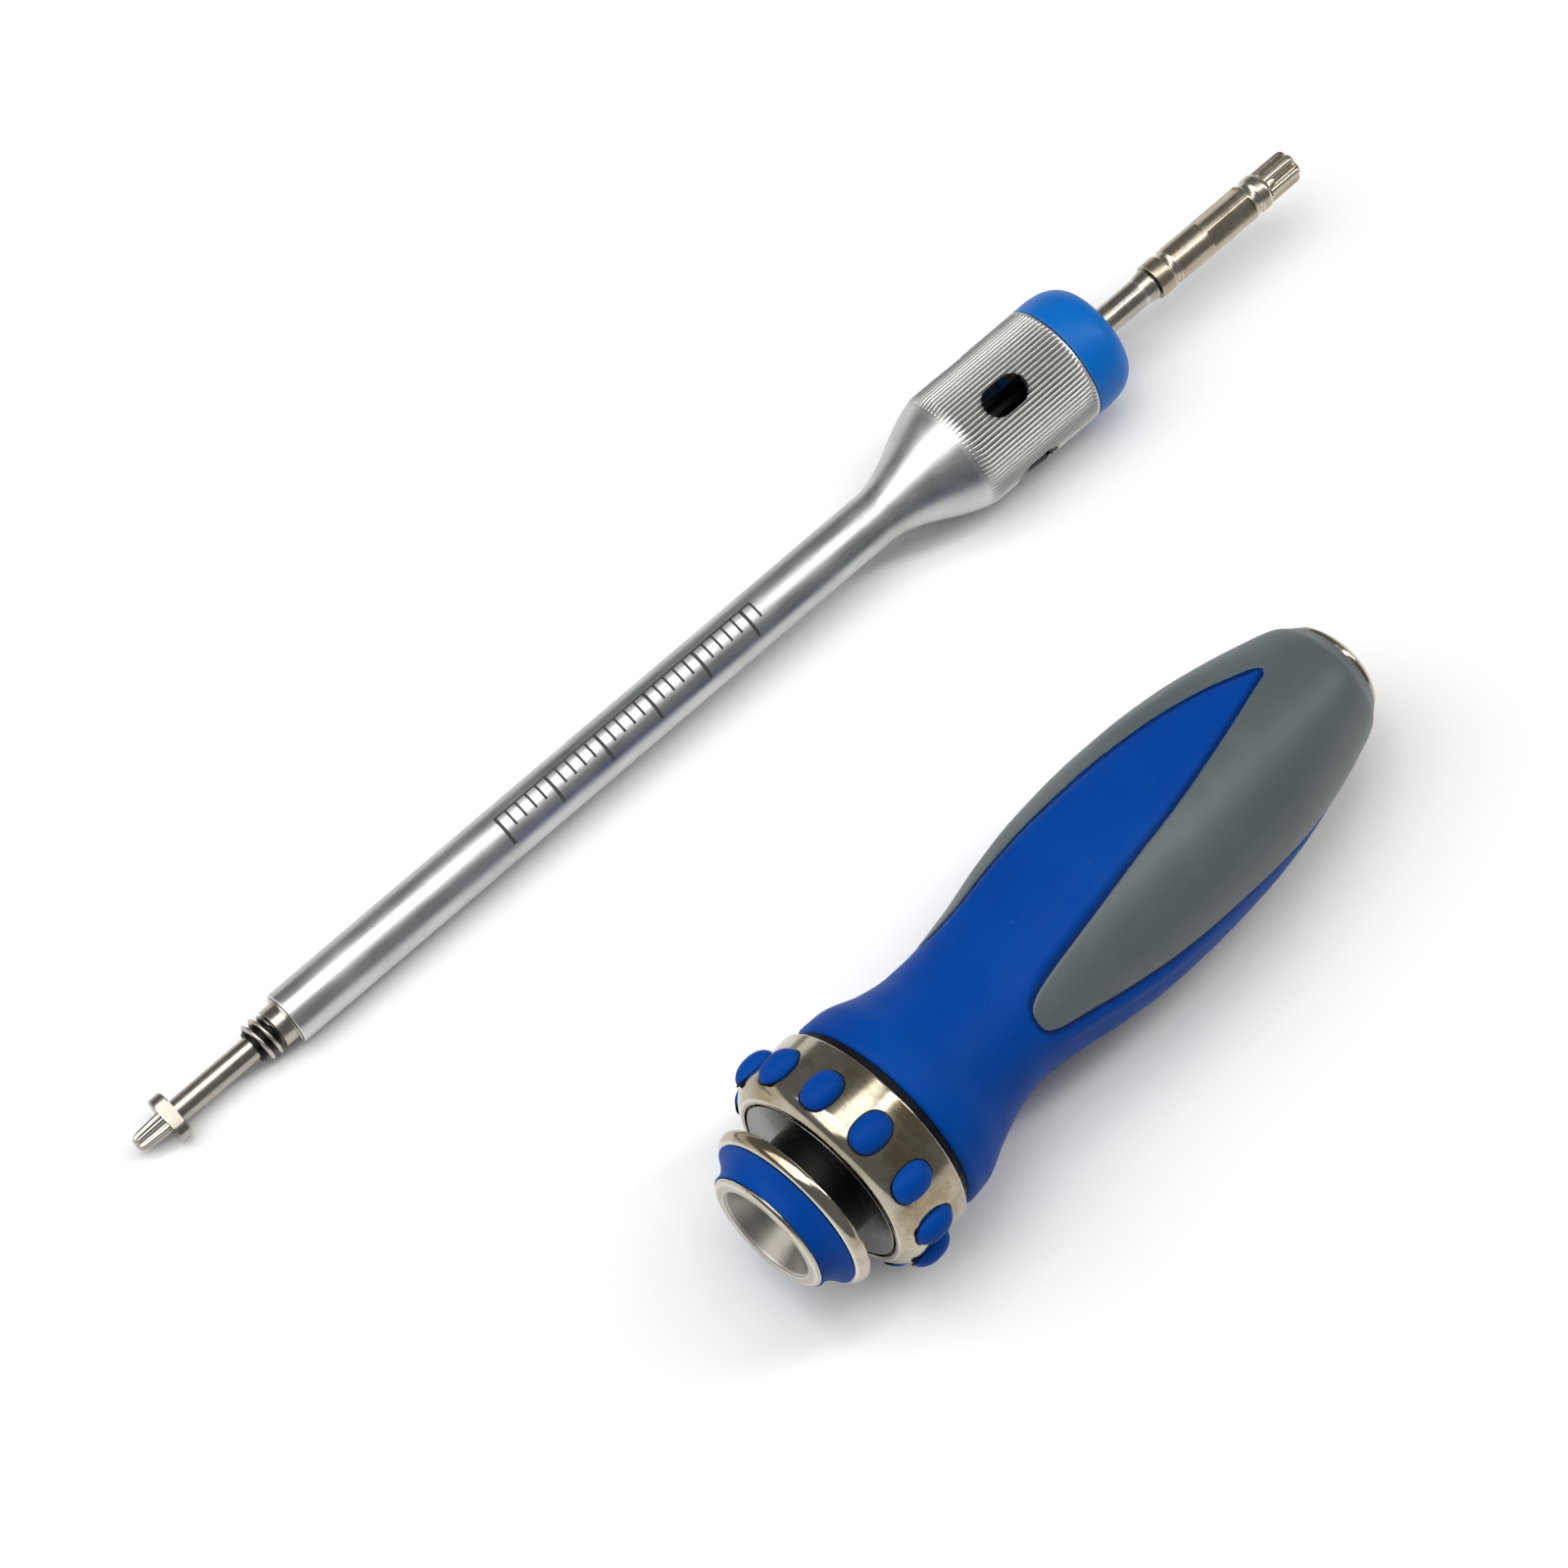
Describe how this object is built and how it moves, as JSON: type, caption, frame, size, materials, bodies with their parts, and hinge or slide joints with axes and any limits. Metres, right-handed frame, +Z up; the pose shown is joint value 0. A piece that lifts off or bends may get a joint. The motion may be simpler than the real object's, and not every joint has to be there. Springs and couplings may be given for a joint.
{
  "type": "ratcheting quick-coupling screwdriver",
  "caption": "Ratcheting screwdriver: two-colour grip with quick coupling, and a long holding driver with a flared sleeve, threaded nose and star tip, lying beside it.",
  "frame": {"origin": "centre of the footprint of both halves on the surface they lie on", "axes": "+X along the handle from its mouth to its rear cap, +Y towards the driver, +Z up"},
  "size_m": [0.2398, 0.1045, 0.0391],
  "materials": {
    "blue_silicone": "satin moulded silicone rubber, royal blue",
    "grey_silicone": "satin moulded silicone rubber, dark grey",
    "polished_steel": "polished stainless steel, lightly worn",
    "satin_steel": "satin turned stainless steel",
    "satin_aluminium": "satin silver aluminium",
    "blue_plastic": "satin bright blue anodised or moulded cap",
    "black_seal": "black seal rubber",
    "bearing_bronze": "plain bearing bronze",
    "spring_steel": "bright spring wire"
  },
  "bodies": {
    "handle": {"grip_blue": "blue_silicone", "grip_grey": "grey_silicone", "handle_core": "satin_aluminium", "end_cap": "polished_steel", "end_cap_seal": "black_seal", "ratchet_housing": "satin_steel", "housing_screw_1": "satin_steel", "housing_screw_2": "satin_steel", "housing_screw_3": "satin_steel", "pawl_pin_forward": "polished_steel", "pawl_pin_reverse": "polished_steel", "pawl_spring_forward": "spring_steel", "pawl_spring_reverse": "spring_steel", "detent_spring": "spring_steel", "front_bearing": "bearing_bronze", "rear_bush": "bearing_bronze", "front_seal": "black_seal"},
    "selector": {"selector_ring": "polished_steel", "selector_studs": "blue_silicone"},
    "pawl_forward": {"pawl_forward": "satin_steel"},
    "pawl_reverse": {"pawl_reverse": "satin_steel"},
    "detent": {"detent_ball": "polished_steel"},
    "spindle": {"spindle": "satin_steel", "ratchet_gear": "satin_steel", "spindle_circlip": "spring_steel", "collar_spring": "spring_steel"},
    "collar": {"coupling_collar": "polished_steel", "collar_band": "blue_silicone"},
    "locking_ball_1": {"locking_ball_1": "polished_steel"},
    "locking_ball_2": {"locking_ball_2": "polished_steel"},
    "locking_ball_3": {"locking_ball_3": "polished_steel"},
    "driver": {"drive_rod": "satin_steel", "quick_shank": "satin_steel", "stop_collar": "satin_steel", "stop_pin": "satin_steel", "thrust_washer": "bearing_bronze"},
    "sleeve": {"outer_sleeve": "satin_aluminium", "threaded_tip": "satin_steel", "sleeve_cap": "blue_plastic", "rear_sleeve_bush": "bearing_bronze", "front_sleeve_bush": "bearing_bronze"}
  },
  "joints": [
    {"name": "ratchet_spin", "type": "hinge", "parent": "handle", "child": "spindle", "pos_m": [-0.05363, -0.03273, 0.01953], "axis": [0.9996, 0, -0.0279], "continuous": true},
    {"name": "selector_turn", "type": "hinge", "parent": "handle", "child": "selector", "pos_m": [-0.05423, -0.03273, 0.01954], "axis": [0.9996, 0, -0.0279], "range_deg": [-22.5, 22.5]},
    {"name": "pawl_forward_pivot", "type": "hinge", "parent": "handle", "child": "pawl_forward", "pos_m": [-0.05391, -0.04341, 0.02407], "axis": [0.9996, 0, -0.0279], "range_deg": [-8, 8]},
    {"name": "pawl_reverse_pivot", "type": "hinge", "parent": "handle", "child": "pawl_reverse", "pos_m": [-0.05391, -0.02205, 0.02407], "axis": [0.9996, 0, -0.0279], "range_deg": [-8, 8]},
    {"name": "detent_plunge", "type": "slide", "parent": "handle", "child": "detent", "axis": [-0.0279, 0, -0.9996], "range_m": [-0.0006, 0], "stiffness_N_per_m": 1500, "deforming": ["detent_spring"]},
    {"name": "collar_pull", "type": "slide", "parent": "spindle", "child": "collar", "axis": [0.9996, 0, -0.0279], "range_m": [0, 0.0032], "stiffness_N_per_m": 1500, "springref_m": -0.001, "deforming": ["collar_spring"]},
    {"name": "locking_ball_1_lift", "type": "slide", "parent": "spindle", "child": "locking_ball_1", "axis": [0.0279, 0, 0.9996], "range_m": [0, 0.00045]},
    {"name": "locking_ball_2_lift", "type": "slide", "parent": "spindle", "child": "locking_ball_2", "axis": [-0.014, -0.866, -0.4998], "range_m": [0, 0.00045]},
    {"name": "locking_ball_3_lift", "type": "slide", "parent": "spindle", "child": "locking_ball_3", "axis": [-0.014, 0.866, -0.4998], "range_m": [0, 0.00045]},
    {"name": "driver_lift", "type": "slide", "parent": "handle", "child": "driver", "axis": [0, 0, 1], "range_m": [0, 0.06]},
    {"name": "sleeve_spin", "type": "hinge", "parent": "driver", "child": "sleeve", "pos_m": [-0.02019, 0.04144, 0.00758], "axis": [0.9963, -0.0733, 0.0441], "continuous": true}
  ],
  "couplings": [
    {"joint": "pawl_forward_pivot", "follows": "selector_turn", "ratio": 0.35},
    {"joint": "pawl_reverse_pivot", "follows": "selector_turn", "ratio": 0.35},
    {"joint": "locking_ball_1_lift", "follows": "collar_pull", "ratio": 0.14},
    {"joint": "locking_ball_2_lift", "follows": "collar_pull", "ratio": 0.14},
    {"joint": "locking_ball_3_lift", "follows": "collar_pull", "ratio": 0.14}
  ]
}
